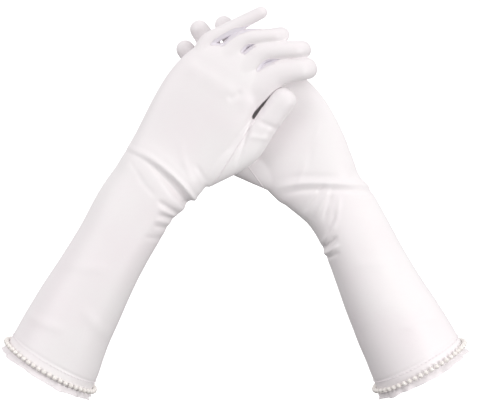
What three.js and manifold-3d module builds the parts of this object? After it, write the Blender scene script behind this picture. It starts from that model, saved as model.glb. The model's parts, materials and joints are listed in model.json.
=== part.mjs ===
// A pair of opera gloves worn on clasped hands, left glove in front.
// Millimetres, +Z up, origin at the middle of the left cuff mouth, +Y away from the viewer.
import * as THREE from "three";
import { mergeVertices } from "three/addons/utils/BufferGeometryUtils.js";
import Module from "manifold-3d";

// Fabric and fits
const FABRIC = 1.2;
const SEAM_GAP = 0.3;

// Sleeves, from the cuff mouth to the wrist
const SLEEVE_LENGTH = 190;
const CUFF_WIDTH = 82;
const CUFF_DEPTH = 72;
const WRIST_WIDTH = 68;
const WRIST_DEPTH = 40;
const WRIST_BEND = 14;
const LEFT_ARM_LEAN = 60;
const RIGHT_ARM_LEAN = 118.3;

// Cuff trim
const HEM_HEIGHT = 10;
const HEM_THICKNESS = 0.8;
const PEARL_DIAMETER = 4.6;
const PEARL_NECK = 1.4;
const PEARL_PITCH = 5;
const FRILL_LENGTH = 7;
const FRILL_FLARE = 2.5;
const FRILL_WAVE = 1.4;
const FRILL_WAVES = 16;

// Hands, from the wrist to the finger roots
const HAND_LENGTH = 110;
const PALM_WIDTH = 86;
const KNUCKLE_WIDTH = 76;
const PALM_DEPTH = 25;
const KNUCKLE_DEPTH = 22;
const LEFT_HAND_LEAN = 57.5;
const RIGHT_HAND_LEAN = 126;

// How a limb swells along its length: shares of the way, or of the palm, at even steps
const SLEEVE_NARROWING = [0, 0.4, 0.72, 0.9, 1];
const HAND_WIDENING = [0.88, 0.98, 1];
const HAND_THINNING = [1.12, 1, 1];
const HAND_SQUARENESS = [1, 0.85, 0.7, 0.65, 0.6];
const THUMB_DEPTHS = [1.1, 1.1, 1.05, 1, 0.9];

// Fingers and thumb
const FINGER_WIDTH = 14.4;
const FINGER_DEPTH = 15;
const FINGER_WAIST = 0.96;
const FINGER_TAPER = 0.84;
const FINGER_PITCH = 18;
const FINGER_DROP = 3;
const FOURCHETTE_WIDTH = 6;
const FOURCHETTE_HEIGHT = 13;
const FOURCHETTE_STOP = 9;
const STRIP_END = 2;
const THUMB_WIDTH = 22;
const THUMB_DEPTH = 19;
const THUMB_REACH = 74;
const THUMB_DROP = 1;
const THUMB_ROOT = 28;
const THUMB_ROOT_WIDTH = 32;
const THUMB_ROOT_INSET = 15;
const THUMB_BALL = 62;
const THUMB_BALL_WIDTH = 29;
const THUMB_BALL_STAND = 8;
const THUMB_BEND = 60;
const THUMB_CLOSE = 8;
const THUMB_SWELL = 2;
const THUMB_PINCH = 3;
const THUMB_TWIST = 12;

// The clasp: how the two hands lie on each other
const HAND_NEST = 0.4;
const HAND_STACK = PALM_DEPTH - HAND_NEST;
const CLASP_STATION = 90;
const CLASP_CLEARANCE = 1.2;
const HOOK_RISE = 36;
const HOOK_TIP = 21;
const HOOK_CURL = 50;
const ARCH_BEND = 20;
const ARCH_CLEAR = 7;
const KNUCKLE_BEND = 8.3;
const TIP_BEND = 12;

// Root slots count outwards from the middle of the hand, towards the thumb.
// A left finger rises from its knuckle, arches over, and reaches across to its far corner or its tip.
const FINGERS = [
  {
    name: "index", slot: 1.5, riseLean: 31.1, riseReach: 25.3, leftLean: 12.2, leftReach: 29.4,
    rightLean: 126.5, rightReach: 56,
  },
  {
    name: "middle", slot: 0.5, riseLean: 41.7, riseReach: 34.1, leftLean: 5, leftReach: 35.3,
    rightLean: 124.3, rightReach: 63,
  },
  {
    name: "ring", slot: -0.5, riseLean: 45.7, riseReach: 33.1, leftLean: 9.4, leftReach: 34.8,
    rightLean: 122, rightReach: 56,
  },
  {
    name: "little", slot: -1.5, riseLean: 67.3, riseReach: 17.1, leftLean: 26.6, leftReach: 59,
    rightLean: 120, rightReach: 36,
  },
];

// Facets
const SLEEVE_SIDES = 24;
const HAND_SIDES = 24;
const FINGER_SIDES = 10;
const THUMB_SIDES = 12;
const PEARL_SIDES = 6;
const TIP_RINGS = 3;
const TIP_CLOSING = 0.46 * Math.PI;
const TIP_LEAST = 0.02;
const SLEEVE_STEP = 45;
const HAND_STEP = 26;
const FINGER_STEP = 22;
const ARCH_STEP = 10;
const HOOK_STEP = 8;
const RING_STEP = 14;
const UPRIGHT_SHARE = 0.9;
const FAR = 900;

const AWAY = new THREE.Vector3(0, 1, 0);
const wasm = await Module();
wasm.setup();

// ---- plain helpers -------------------------------------------------------------------------

/** Unit vector in the upright plane, leaning by this many degrees from +X. */
function leaning(degrees) {
  const angle = THREE.MathUtils.degToRad(degrees);
  return new THREE.Vector3(Math.cos(angle), 0, Math.sin(angle));
}

/** Unit vector across a limb that leans this way, in the upright plane. */
function acrossOf(degrees) {
  return leaning(degrees - 90);
}

/** A point moved along one or more directions: moved(p, [dir, length], ...). */
function moved(point, ...moves) {
  const result = point.clone();
  for (const [direction, length] of moves) {
    result.addScaledVector(direction, length);
  }
  return result;
}

/** Reads a list of values spread evenly from 0 to 1, straight between neighbours. */
function between(values, t) {
  const place = THREE.MathUtils.clamp(t, 0, 1) * (values.length - 1);
  const first = Math.min(Math.floor(place), values.length - 2);
  return THREE.MathUtils.lerp(values[first], values[first + 1], place - first);
}

/** Sign-keeping power, which squares off a round section when the power is under 1. */
function squared(value, power) {
  return Math.sign(value) * Math.abs(value) ** power;
}

/** Straight runs through the corner points, with an arc of the given radius at each inner corner. */
function route(corners, radii) {
  const path = new THREE.CurvePath();
  let start = corners[0];
  for (let i = 1; i < corners.length - 1; i += 1) {
    const into = corners[i].clone().sub(corners[i - 1]).normalize();
    const out = corners[i + 1].clone().sub(corners[i]).normalize();
    const turn = into.angleTo(out);
    const cut = radii[i - 1] * Math.tan(turn / 2);
    const pull = (4 / 3) * Math.tan(turn / 4) * radii[i - 1];
    const from = moved(corners[i], [into, -cut]);
    const to = moved(corners[i], [out, cut]);
    path.add(new THREE.LineCurve3(start, from));
    path.add(new THREE.CubicBezierCurve3(from, moved(from, [into, pull]), moved(to, [out, -pull]), to));
    start = to;
  }
  path.add(new THREE.LineCurve3(start, corners[corners.length - 1]));
  return path;
}

// ---- limbs: a section carried along a route -------------------------------------------------

/** A tube of cloth: half widths and half depths are spread evenly along the route. */
function limb(path, across, wide, deep, options = {}) {
  return { path, across, wide, deep, length: path.getLength(), square: [1], tip: false, ...options };
}

/** Closes a fingertip: the section shrinks as a half ellipse over the last stretch. */
function tipFactor(form, s, grow) {
  if (!form.tip) {
    return 1;
  }
  const reach = form.wide[form.wide.length - 1] + grow;
  const into = reach - (form.length + grow - s);
  if (into <= 0) {
    return 1;
  }
  return Math.sqrt(Math.max(TIP_LEAST, 1 - (into / reach) ** 2));
}

/** Point of the limb's surface: turn in radians, s along the route, grow outwards. */
function skin(form, turn, s, grow) {
  const t = THREE.MathUtils.clamp(s / form.length, 0, 1);
  const tangent = form.path.getTangent(THREE.MathUtils.clamp(t, 0.001, 0.999));
  const centre = moved(form.path.getPoint(t), [tangent, s - t * form.length]);
  const across = typeof form.across === "function" ? form.across(t) : form.across;
  const depth = across.clone().cross(tangent).normalize();
  const power = form.square.length > 1 ? between(form.square, t) : form.square[0];
  const shrink = tipFactor(form, s, grow);
  const wide = (between(form.wide, t) + grow) * shrink;
  const deep = (between(form.deep, t) + grow) * shrink;
  const sideways = squared(Math.cos(turn), power) * wide;
  const outwards = squared(Math.sin(turn), power) * deep;
  return moved(centre, [across, sideways], [depth, outwards]);
}

/** Stations along a limb from one length to another, closer together over a round tip. */
function stations(form, from, to, grow) {
  const list = [];
  const reach = form.tip ? form.wide[form.wide.length - 1] + grow : 0;
  const straightEnd = to - reach;
  const count = Math.max(1, Math.round((straightEnd - from) / (form.step ?? RING_STEP)));
  for (let i = 0; i <= count; i += 1) {
    list.push(from + ((straightEnd - from) * i) / count);
  }
  if (form.tip) {
    for (let i = 1; i <= TIP_RINGS; i += 1) {
      list.push(straightEnd + reach * Math.sin((i / TIP_RINGS) * TIP_CLOSING));
    }
  }
  return list;
}

// ---- solids ----------------------------------------------------------------------------------

/** Signed volume of an indexed geometry. */
function signedVolume(geometry) {
  const index = geometry.index.array;
  const position = geometry.attributes.position;
  const corner = [new THREE.Vector3(), new THREE.Vector3(), new THREE.Vector3()];
  let volume = 0;
  for (let i = 0; i < index.length; i += 3) {
    corner.forEach((point, k) => point.fromBufferAttribute(position, index[i + k]));
    volume += corner[0].dot(corner[1].cross(corner[2])) / 6;
  }
  return volume;
}

/** Closed three.js geometry to a solid: one set of vertices, no empty faces, faces outwards. */
function solid(geometry) {
  geometry.deleteAttribute("normal");
  geometry.deleteAttribute("uv");
  const merged = mergeVertices(geometry, 1e-4);
  const flip = signedVolume(merged) < 0;
  const source = merged.index.array;
  const faces = [];
  for (let i = 0; i < source.length; i += 3) {
    const [a, b, c] = [source[i], source[i + 1], source[i + 2]];
    if (a !== b && b !== c && c !== a) {
      faces.push(...(flip ? [a, c, b] : [a, b, c]));
    }
  }
  return new wasm.Manifold(new wasm.Mesh({
    numProp: 3,
    vertProperties: new Float32Array(merged.attributes.position.array),
    triVerts: new Uint32Array(faces),
  }));
}

/** Skins a list of rings (each [s, grow]) from end to end with flat caps, as a bent cylinder. */
function capped(form, rings, sides) {
  const geometry = new THREE.CylinderGeometry(1, 1, 1, sides, rings.length - 1);
  const position = geometry.attributes.position;
  for (let i = 0; i < position.count; i += 1) {
    const [s, grow] = rings[Math.round((position.getY(i) + 0.5) * (rings.length - 1))];
    const radius = Math.hypot(position.getX(i), position.getZ(i));
    const turn = Math.atan2(position.getZ(i), position.getX(i));
    const rim = skin(form, turn, s, grow);
    if (radius < 0.5) {
      rim.add(skin(form, turn + Math.PI, s, grow)).multiplyScalar(0.5);
    }
    position.setXYZ(i, rim.x, rim.y, rim.z);
  }
  return solid(geometry);
}

/** Carries a closed outline round a hoop: place(turn, corner) gives each point. */
function hoop(corners, count, place) {
  const geometry = new THREE.TorusGeometry(2, 1, corners.length, count);
  const position = geometry.attributes.position;
  for (let k = 0; k < position.count; k += 1) {
    const corner = corners[Math.floor(k / (count + 1)) % corners.length];
    const step = (k % (count + 1)) % count;
    const point = place((step / count) * 2 * Math.PI, corner, step);
    position.setXYZ(k, point.x, point.y, point.z);
  }
  return solid(geometry);
}

/** Open tube of cloth between two stations: the outer wall out, the inner wall back. */
function openTube(form, from, to, sides) {
  const outer = stations(form, from, to, 0).map((s) => [s, 0]);
  const inner = stations(form, from, to, 0).map((s) => [s, -FABRIC]).reverse();
  return hoop([...outer, ...inner], sides, (turn, [s, grow]) => skin(form, turn, s, grow));
}

/** Stall of cloth closed at its tip: the inner wall down to the mouth, the outer wall up. */
function stall(form, from, sides) {
  const inner = stations(form, from, form.length - FABRIC, -FABRIC).map((s) => [s, -FABRIC]);
  const outer = stations(form, from, form.length, 0).map((s) => [s, 0]);
  return capped(form, [...inner.reverse(), ...outer], sides);
}

/** The room inside a limb, run on past its mouth. */
function room(form, from, sides) {
  const end = form.tip ? form.length - FABRIC : form.length;
  return capped(form, stations(form, from, end, -FABRIC).map((s) => [s, -FABRIC]), sides);
}

/** Everything on the side of a plane that its normal points to. */
function beyond(point, normal) {
  const block = new THREE.BoxGeometry(2 * FAR, 2 * FAR, FAR).translate(0, 0, FAR / 2);
  const upwards = new THREE.Vector3(0, 0, 1);
  const turn = new THREE.Quaternion().setFromUnitVectors(upwards, normal.clone().normalize());
  block.applyQuaternion(turn).translate(point.x, point.y, point.z);
  return solid(block);
}

/** Block laid along a direction in the upright plane, its middle at a point. */
function block(middle, degrees, length, height, thickness) {
  const box = new THREE.BoxGeometry(length, thickness, height);
  box.rotateY(-THREE.MathUtils.degToRad(degrees)).translate(middle.x, middle.y, middle.z);
  return solid(box);
}

// ---- the model -------------------------------------------------------------------------------

const gloves = new THREE.Group();
const satin = { color: 0xf6f1f2, roughness: 0.42, metalness: 0 };
const lining = { color: 0xeee6ea, roughness: 0.55, metalness: 0 };
const frillCloth = { color: 0xfaf6f6, roughness: 0.5, metalness: 0 };
const pearl = { color: 0xf7f3ec, roughness: 0.18, metalness: 0 };

/** Adds one named piece to the pair. */
function piece(name, body, finish) {
  const result = body.getMesh();
  const geometry = new THREE.BufferGeometry();
  geometry.setAttribute("position", new THREE.BufferAttribute(result.vertProperties, 3));
  geometry.setIndex(new THREE.BufferAttribute(result.triVerts, 1));
  const mesh = new THREE.Mesh(geometry, new THREE.MeshStandardMaterial(finish));
  mesh.name = name;
  gloves.add(mesh);
}

/** Half sizes of the hand at even steps from the wrist to the knuckles. */
function handHalves(wrist, palm, shares, knuckle) {
  return [wrist, ...shares.map((share) => share * palm), knuckle].map((size) => size / 2);
}

const HAND_HALVES = handHalves(WRIST_WIDTH, PALM_WIDTH, HAND_WIDENING, KNUCKLE_WIDTH);
const HAND_DEPTHS = handHalves(WRIST_DEPTH, PALM_DEPTH, HAND_THINNING, KNUCKLE_DEPTH);

/** Half width of the hand a given length past the wrist. */
function handHalf(s) {
  return between(HAND_HALVES, s / HAND_LENGTH);
}


/** The two hands' frames: wrist point, directions along and towards the thumb, and depth. */
function handFrame(name, wrist, handLean, armLean, thumbSide) {
  return {
    name,
    wrist,
    handLean,
    armLean,
    along: leaning(handLean),
    thumbward: acrossOf(handLean).multiplyScalar(thumbSide),
    thumbSide,
  };
}

/** Point of a hand: s past the wrist, a towards the thumb, y away from the viewer. */
function handPoint(hand, s, a, y = 0) {
  return moved(hand.wrist, [hand.along, s], [hand.thumbward, a], [AWAY, y]);
}

const left = handFrame("left", leaning(LEFT_ARM_LEAN).multiplyScalar(SLEEVE_LENGTH),
  LEFT_HAND_LEAN, LEFT_ARM_LEAN, 1);

/** Corners of a left finger: inside the knuckles, where it arches over, and its far corner or tip. */
function archCorners(finger) {
  const root = handPoint(left, HAND_LENGTH, finger.slot * FINGER_PITCH, FINGER_DROP);
  const rise = leaning(finger.riseLean);
  const arch = moved(root, [rise, finger.riseReach]);
  const far = moved(arch, [leaning(finger.leftLean), finger.leftReach]);
  return [moved(root, [rise, -FINGER_PITCH]), arch, far];
}

/** Corner where a clasping finger of the left hand turns round the right hand's edge. */
function hookCorner(finger) {
  return archCorners(finger)[2];
}

/** Direction across a finger that runs in the upright plane, and then the same past its turn away. */
function acrossArch(path, degrees) {
  return (t) => {
    const tangent = path.getTangent(THREE.MathUtils.clamp(t, 0.001, 0.999)).setY(0);
    const upright = tangent.length() > UPRIGHT_SHARE;
    return upright ? new THREE.Vector3(tangent.z, 0, -tangent.x).normalize() : acrossOf(degrees);
  };
}

/** The right wrist lies where the right hand's edge meets the left index finger's hook. */
function rightWrist() {
  const hook = hookCorner(FINGERS[0]);
  const edgeGap = FINGER_DEPTH / 2 + CLASP_CLEARANCE;
  const edge = moved(hook, [leaning(FINGERS[0].leftLean), -edgeGap]);
  const wrist = moved(edge, [leaning(RIGHT_HAND_LEAN), -CLASP_STATION],
    [acrossOf(RIGHT_HAND_LEAN), -handHalf(CLASP_STATION)]);
  return wrist.setY(HAND_STACK);
}

const right = handFrame("right", rightWrist(), RIGHT_HAND_LEAN, RIGHT_ARM_LEAN, -1);

/** Forearm limb, from the cuff mouth to the wrist. */
function sleeveLimb(hand) {
  const along = leaning(hand.armLean);
  const cuff = moved(hand.wrist, [along, -SLEEVE_LENGTH]);
  const halves = (mouth, wrist) =>
    SLEEVE_NARROWING.map((share) => THREE.MathUtils.lerp(mouth, wrist, share) / 2);
  return limb(route([cuff, hand.wrist], []), acrossOf(hand.armLean),
    halves(CUFF_WIDTH, WRIST_WIDTH), halves(CUFF_DEPTH, WRIST_DEPTH), { step: SLEEVE_STEP });
}

/** Hand limb, from the wrist to the finger roots. */
function handLimb(hand) {
  return limb(route([hand.wrist, handPoint(hand, HAND_LENGTH, 0)], []), acrossOf(hand.handLean),
    HAND_HALVES, HAND_DEPTHS, { square: HAND_SQUARENESS, step: HAND_STEP });
}

/** Front and back panels of a shell that is parted at a hand's middle plane. */
function panels(hand, part, shell) {
  const seam = SEAM_GAP / 2;
  const front = beyond(moved(hand.wrist, [AWAY, -seam]), AWAY.clone().negate());
  const behind = beyond(moved(hand.wrist, [AWAY, seam]), AWAY);
  piece(`${hand.name}_${part}_back`, shell.intersect(front), satin);
  piece(`${hand.name}_${part}_palm`, shell.intersect(behind), satin);
}

/** Sleeve panels with the turned hem, the pearl string and the frill at the cuff. */
function addSleeve(hand) {
  const form = sleeveLimb(hand);
  panels(hand, "sleeve", openTube(form, 0, SLEEVE_LENGTH - WRIST_BEND / 2, SLEEVE_SIDES));
  addHem(hand, form);
  addPearls(hand, form);
  addFrill(hand, form);
}

/** Turned-in hem: a flat band lying inside the cuff. */
function addHem(hand, form) {
  const outside = -FABRIC - SEAM_GAP;
  const inside = outside - HEM_THICKNESS;
  const corners = [[0, outside], [HEM_HEIGHT, outside], [HEM_HEIGHT, inside], [0, inside]];
  const place = (turn, [s, grow]) => skin(form, turn, s, grow);
  piece(`${hand.name}_hem`, hoop(corners, SLEEVE_SIDES, place), lining);
}

/** Pearls on their thread: a hoop that swells at each bead and narrows between beads. */
function addPearls(hand, form) {
  const girth = Math.PI * (CUFF_WIDTH + CUFF_DEPTH) / 2;
  const beads = Math.round(girth / PEARL_PITCH);
  const corners = Array.from({ length: PEARL_SIDES }, (_, k) => (k / PEARL_SIDES) * 2 * Math.PI);
  const bead = PEARL_DIAMETER / 2;
  const place = (turn, corner, step) => {
    const radius = step % 2 === 0 ? bead : PEARL_NECK / 2;
    const out = bead + 2 * SEAM_GAP + radius * Math.cos(corner);
    return skin(form, turn, bead + radius * Math.sin(corner), out);
  };
  piece(`${hand.name}_pearls`, hoop(corners, beads * 2, place), pearl);
}

/** Frill: a thin flared edge that waves round the cuff mouth. */
function addFrill(hand, form) {
  const top = -SEAM_GAP;
  const count = FRILL_WAVES * 4;
  const corners = [[top, 0, 0], [top - FRILL_LENGTH, 0, 1], [top - FRILL_LENGTH, -1, 1], [top, -1, 0]];
  const place = (turn, [s, wall, edge], step) => {
    const wave = Math.sin((step / count) * 2 * Math.PI * FRILL_WAVES) * FRILL_WAVE;
    return skin(form, turn, s, edge * (FRILL_FLARE + wave) + wall * HEM_THICKNESS);
  };
  piece(`${hand.name}_frill`, hoop(corners, count, place), frillCloth);
}

/** Bending cloth at the wrist, between the sleeve and the hand. */
function addWrist(hand) {
  const half = WRIST_BEND / 2 - SEAM_GAP;
  const start = moved(hand.wrist, [leaning(hand.armLean), -half]);
  const end = moved(hand.wrist, [leaning(hand.handLean), half]);
  const sides = (t) => acrossOf(THREE.MathUtils.lerp(hand.armLean, hand.handLean, t));
  const path = new THREE.CurvePath();
  path.add(new THREE.QuadraticBezierCurve3(start, hand.wrist, end));
  const form = limb(path, sides, [WRIST_WIDTH / 2, WRIST_WIDTH / 2], [WRIST_DEPTH / 2, WRIST_DEPTH / 2]);
  piece(`${hand.name}_wrist`, openTube(form, 0, form.length, SLEEVE_SIDES), satin);
}

/** Thumb limb: from inside the heel of the hand, out along its edge. */
function thumbLimb(hand) {
  const drop = THUMB_DROP * hand.thumbSide;
  const base = handPoint(hand, THUMB_ROOT, PALM_WIDTH / 2 - THUMB_ROOT_INSET, drop);
  const ball = handPoint(hand, THUMB_BALL, PALM_WIDTH / 2 + THUMB_BALL_STAND, drop);
  const end = moved(ball, [leaning(hand.handLean - hand.thumbSide * THUMB_CLOSE), THUMB_REACH]);
  const widths = [THUMB_ROOT_WIDTH, THUMB_BALL_WIDTH, THUMB_WIDTH + THUMB_SWELL, THUMB_WIDTH,
    THUMB_WIDTH - THUMB_PINCH];
  return limb(route([base, ball, end], [THUMB_BEND]), acrossOf(hand.handLean - hand.thumbSide * THUMB_TWIST),
    widths.map((width) => width / 2), THUMB_DEPTHS.map((share) => (share * THUMB_DEPTH) / 2), { tip: true });
}

/** Hand panels, open at the wrist, the finger roots and the thumb. */
function addHand(hand) {
  const thumbHole = room(thumbLimb(hand), 0, THUMB_SIDES);
  const shell = openTube(handLimb(hand), WRIST_BEND / 2, HAND_LENGTH, HAND_SIDES);
  panels(hand, "hand", shell.subtract(thumbHole));
}

/** Set-in thumb: the stall beyond the plane of the hand's edge. */
function addThumb(hand) {
  const edge = handPoint(hand, 0, PALM_WIDTH / 2 + SEAM_GAP);
  const body = stall(thumbLimb(hand), 0, THUMB_SIDES);
  piece(`${hand.name}_thumb`, body.intersect(beyond(edge, hand.thumbward)), satin);
}

/** Finger limb carried through its corners, slimmer towards its round tip. */
function fingerLimb(corners, bends, degrees, step) {
  const half = FINGER_WIDTH / 2;
  const deep = FINGER_DEPTH / 2;
  const path = route(corners, bends);
  return limb(path, acrossArch(path, degrees), [half, half, half * FINGER_WAIST, half * FINGER_TAPER],
    [deep, deep, deep * FINGER_WAIST, deep * FINGER_TAPER], { tip: true, step });
}

/** Straight finger of the right hand, from inside the knuckles to its tip. */
function straightLimb(finger) {
  const root = handPoint(right, HAND_LENGTH, finger.slot * FINGER_PITCH, -FINGER_DROP);
  const along = leaning(finger.rightLean);
  const corners = [moved(root, [along, -FINGER_PITCH]), moved(root, [along, finger.rightReach])];
  return fingerLimb(corners, [], finger.rightLean, FINGER_STEP);
}

/** Clasping finger limb: over its arch, away round the other hand's edge, and in behind it. */
function hookLimb(finger) {
  const along = leaning(finger.leftLean);
  const bend = moved(hookCorner(finger), [AWAY, HOOK_RISE]);
  const curl = THREE.MathUtils.degToRad(HOOK_CURL);
  const end = moved(bend, [AWAY, HOOK_TIP * Math.cos(curl)], [along, -HOOK_TIP * Math.sin(curl)]);
  return fingerLimb([...archCorners(finger), bend, end], [ARCH_BEND, KNUCKLE_BEND, TIP_BEND],
    finger.leftLean, HOOK_STEP);
}

/** Cuts the side strips out of a finger's straight run and adds the finger and its strips as pieces. */
function addStrips(name, slot, thumbSide, body, run) {
  const sides = [];
  if (slot < 1) {
    sides.push(["thumb_side", 1]);
  }
  if (slot > -1) {
    sides.push(["little_side", -1]);
  }
  const middle = moved(run.start, [leaning(run.lean), (run.from + run.to) / 2]);
  let rest = body;
  for (const [label, sign] of sides) {
    const out = acrossOf(run.lean).multiplyScalar(thumbSide * sign);
    const at = moved(middle, [out, FINGER_WIDTH / 2]);
    const cut = (spare) => block(at, run.lean, run.to - run.from + 2 * spare, FOURCHETTE_HEIGHT,
      FOURCHETTE_WIDTH + 2 * spare);
    piece(`${name}_fourchette_${label}`, body.intersect(cut(0)), lining);
    rest = rest.subtract(cut(SEAM_GAP));
  }
  piece(name, rest, satin);
}

/** A finger's stall, cut square with the knuckle line. */
function stallPastKnuckles(hand, form) {
  const rootPlane = handPoint(hand, HAND_LENGTH + SEAM_GAP, 0);
  return stall(form, 0, FINGER_SIDES).intersect(beyond(rootPlane, hand.along));
}

/** Straight finger of the right hand with its side strips. */
function addStraight(finger) {
  const start = handPoint(right, HAND_LENGTH, finger.slot * FINGER_PITCH, -FINGER_DROP);
  const run = { start, lean: finger.rightLean, from: -FINGER_PITCH, to: finger.rightReach - FOURCHETTE_STOP };
  const body = stallPastKnuckles(right, straightLimb(finger));
  addStrips(`right_${finger.name}`, finger.slot, right.thumbSide, body, run);
}

/** Free finger of the left hand: it arches over the others and lies open. */
function addArched(finger) {
  const corners = archCorners(finger);
  const form = fingerLimb(corners, [ARCH_BEND], finger.leftLean, ARCH_STEP);
  const to = finger.leftReach - FOURCHETTE_STOP;
  const run = { start: corners[1], lean: finger.leftLean, from: ARCH_CLEAR, to };
  addStrips(`left_${finger.name}`, finger.slot, left.thumbSide, stallPastKnuckles(left, form), run);
}

/** Clasping finger: the finger to its knuckle, the bending cloth, and the curled end. */
function addHook(finger) {
  const name = `left_${finger.name}`;
  const along = leaning(finger.leftLean);
  const [, arch, corner] = archCorners(finger);
  const body = stallPastKnuckles(left, hookLimb(finger));
  const before = moved(corner, [along, -KNUCKLE_BEND]);
  const after = moved(corner, [AWAY, KNUCKLE_BEND]);
  const pastNear = beyond(moved(before, [along, SEAM_GAP]), along);
  const shortOfFar = beyond(moved(after, [AWAY, -SEAM_GAP]), AWAY.clone().negate());
  const near = body.intersect(beyond(before, along.clone().negate())).intersect(shortOfFar);
  piece(`${name}_knuckle`, body.intersect(pastNear).intersect(shortOfFar), satin);
  piece(`${name}_end`, body.intersect(beyond(after, AWAY)), satin);
  const to = finger.leftReach - KNUCKLE_BEND - STRIP_END;
  const run = { start: arch, lean: finger.leftLean, from: ARCH_CLEAR, to };
  addStrips(name, finger.slot, left.thumbSide, near, run);
}

for (const hand of [left, right]) {
  addSleeve(hand);
  addWrist(hand);
  addHand(hand);
  addThumb(hand);
}
for (const finger of FINGERS) {
  if (finger.name === "little") {
    addArched(finger);
  } else {
    addHook(finger);
  }
  addStraight(finger);
}

export default gloves;
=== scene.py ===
import json
import math

import bpy
import numpy as np
from mathutils import Matrix, Vector


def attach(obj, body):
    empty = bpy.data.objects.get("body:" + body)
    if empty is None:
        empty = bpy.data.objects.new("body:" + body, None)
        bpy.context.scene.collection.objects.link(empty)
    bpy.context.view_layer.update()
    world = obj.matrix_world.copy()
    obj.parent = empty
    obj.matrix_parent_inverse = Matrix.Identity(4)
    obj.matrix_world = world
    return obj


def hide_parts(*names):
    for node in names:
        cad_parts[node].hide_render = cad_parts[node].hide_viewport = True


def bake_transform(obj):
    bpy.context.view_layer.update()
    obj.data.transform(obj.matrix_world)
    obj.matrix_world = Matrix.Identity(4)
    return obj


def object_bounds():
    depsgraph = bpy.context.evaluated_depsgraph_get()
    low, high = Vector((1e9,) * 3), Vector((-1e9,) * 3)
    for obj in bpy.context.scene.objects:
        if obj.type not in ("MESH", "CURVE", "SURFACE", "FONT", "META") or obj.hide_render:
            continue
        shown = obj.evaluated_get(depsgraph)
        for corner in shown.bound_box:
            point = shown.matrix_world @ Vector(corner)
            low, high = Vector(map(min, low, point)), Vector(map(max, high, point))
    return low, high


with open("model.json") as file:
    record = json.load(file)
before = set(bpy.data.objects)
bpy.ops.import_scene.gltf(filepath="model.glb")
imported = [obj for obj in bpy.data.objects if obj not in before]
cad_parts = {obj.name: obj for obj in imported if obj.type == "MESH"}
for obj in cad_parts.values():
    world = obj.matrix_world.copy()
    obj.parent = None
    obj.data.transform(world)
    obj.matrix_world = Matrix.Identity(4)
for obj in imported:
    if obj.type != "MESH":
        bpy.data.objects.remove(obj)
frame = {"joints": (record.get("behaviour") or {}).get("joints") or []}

MM = 0.001
CAD_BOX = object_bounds()

# ---- driving sizes, millimetres ----

SLEEVE = 190.0            # cuff mouth to wrist
HAND = 110.0              # wrist to finger roots
PITCH = 18.0              # between finger roots
SLOTS = {"index": 1.5, "middle": 0.5, "ring": -0.5, "little": -1.5}
VOXEL = 0.95              # mesh step of the merged skin
SMOOTHING = 9
THUMB_PLANE = 43.3        # the set-in thumb starts this far from the hand's middle
THUMB_FOOT = 14.0         # and this far past the wrist
THUMB_TOP = 142.0         # no part of the thumb lies further past the wrist
BELOW_CUFF = 14.0         # the sleeve's limb starts this far below the cuff mouth, and is cut open there
ROOT_GAP = 0.3            # the fingers start this far past the knuckle line
HEM = 10.0
BEAD = 2.3
BEADS = 48
FRILL = 5.4
FRILL_FLARE = 2.6
STITCH_PITCH = 3.4
AWAY = np.array([0.0, 1.0, 0.0])
FULLNESS = 0.75           # fingers are merged this much too slim, so that they stay apart, and then filled out
THUMB_OPENING = 6.0       # degrees: the thumb is merged this much too far out, and then closed


# ---- plain helpers ----

def unit(v):
    return v / np.linalg.norm(v)


def units(rows):
    return rows / np.linalg.norm(rows, axis=-1)[..., None]


def circle(count):
    """Evenly spaced angles round a full turn."""
    return np.arange(count) / count * 2 * math.pi


def run_lengths(line):
    """Length along a line of points up to each point."""
    return np.concatenate([[0], np.cumsum(np.linalg.norm(np.diff(line, axis=0), axis=1))])


def between(at, length, line):
    """Points at given lengths along a line of points."""
    return np.column_stack([np.interp(at, length, line[:, k]) for k in range(3)])


def smoothstep(low, high, x):
    t = np.clip((x - low) / (high - low), 0, 1)
    return t * t * (3 - 2 * t)


def bump(x, width):
    """Bell of height one at zero, falling off over width."""
    return np.exp(-(x / width) ** 2)


def curve_through(stations, values, s):
    """Smooth values between stations: a cubic whose slope at each one is the mean of its neighbours' slopes."""
    x = np.asarray(stations, float)
    y = np.asarray(values, float)
    run = np.diff(y) / np.diff(x)
    slope = np.concatenate([[run[0]], (run[:-1] + run[1:]) / 2, [run[-1]]])
    s = np.clip(s, x[0], x[-1])
    i = np.clip(np.searchsorted(x, s) - 1, 0, len(x) - 2)
    h = x[i + 1] - x[i]
    u = (s - x[i]) / h
    return (y[i] * (2 * u**3 - 3 * u**2 + 1) + y[i + 1] * (3 * u**2 - 2 * u**3)
            + slope[i] * h * (u**3 - 2 * u**2 + u) + slope[i + 1] * h * (u**3 - u**2))


def route(corners, radii, step=1.0):
    """Straight runs between the corners with a round arc at each inner corner, as evenly spaced points."""
    runs = [corners[0][None]]
    for before, corner, after, radius in zip(corners, corners[1:], corners[2:], radii):
        into, out = unit(corner - before), unit(after - corner)
        turn = math.acos(np.clip(into @ out, -1, 1))
        inward = unit(out - (out @ into) * into)
        centre = corner - into * radius * math.tan(turn / 2) + inward * radius
        angle = np.linspace(0, turn, 24)[:, None]
        runs.append(centre + radius * (np.sin(angle) * into - np.cos(angle) * inward))
    line = np.vstack(runs + [corners[-1][None]])
    length = run_lengths(line)
    return between(np.linspace(0, length[-1], int(length[-1] / step) + 1), length, line)


def along_route(path, s):
    """Points and directions at lengths s along a route of even points; past its ends it runs on straight."""
    length = run_lengths(path)
    inside = np.clip(s, 0, length[-1])
    ahead, behind = np.clip(inside + 1.5, 0, length[-1]), np.clip(inside - 1.5, 0, length[-1])
    heading = units(between(ahead, length, path) - between(behind, length, path))
    return between(inside, length, path) + heading * (s - inside)[:, None], heading


def route_length(path):
    return np.linalg.norm(np.diff(path, axis=0), axis=1).sum()


def squared(value, power):
    return np.sign(value) * np.abs(value) ** power


# ---- the frame's own places ----

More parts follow.
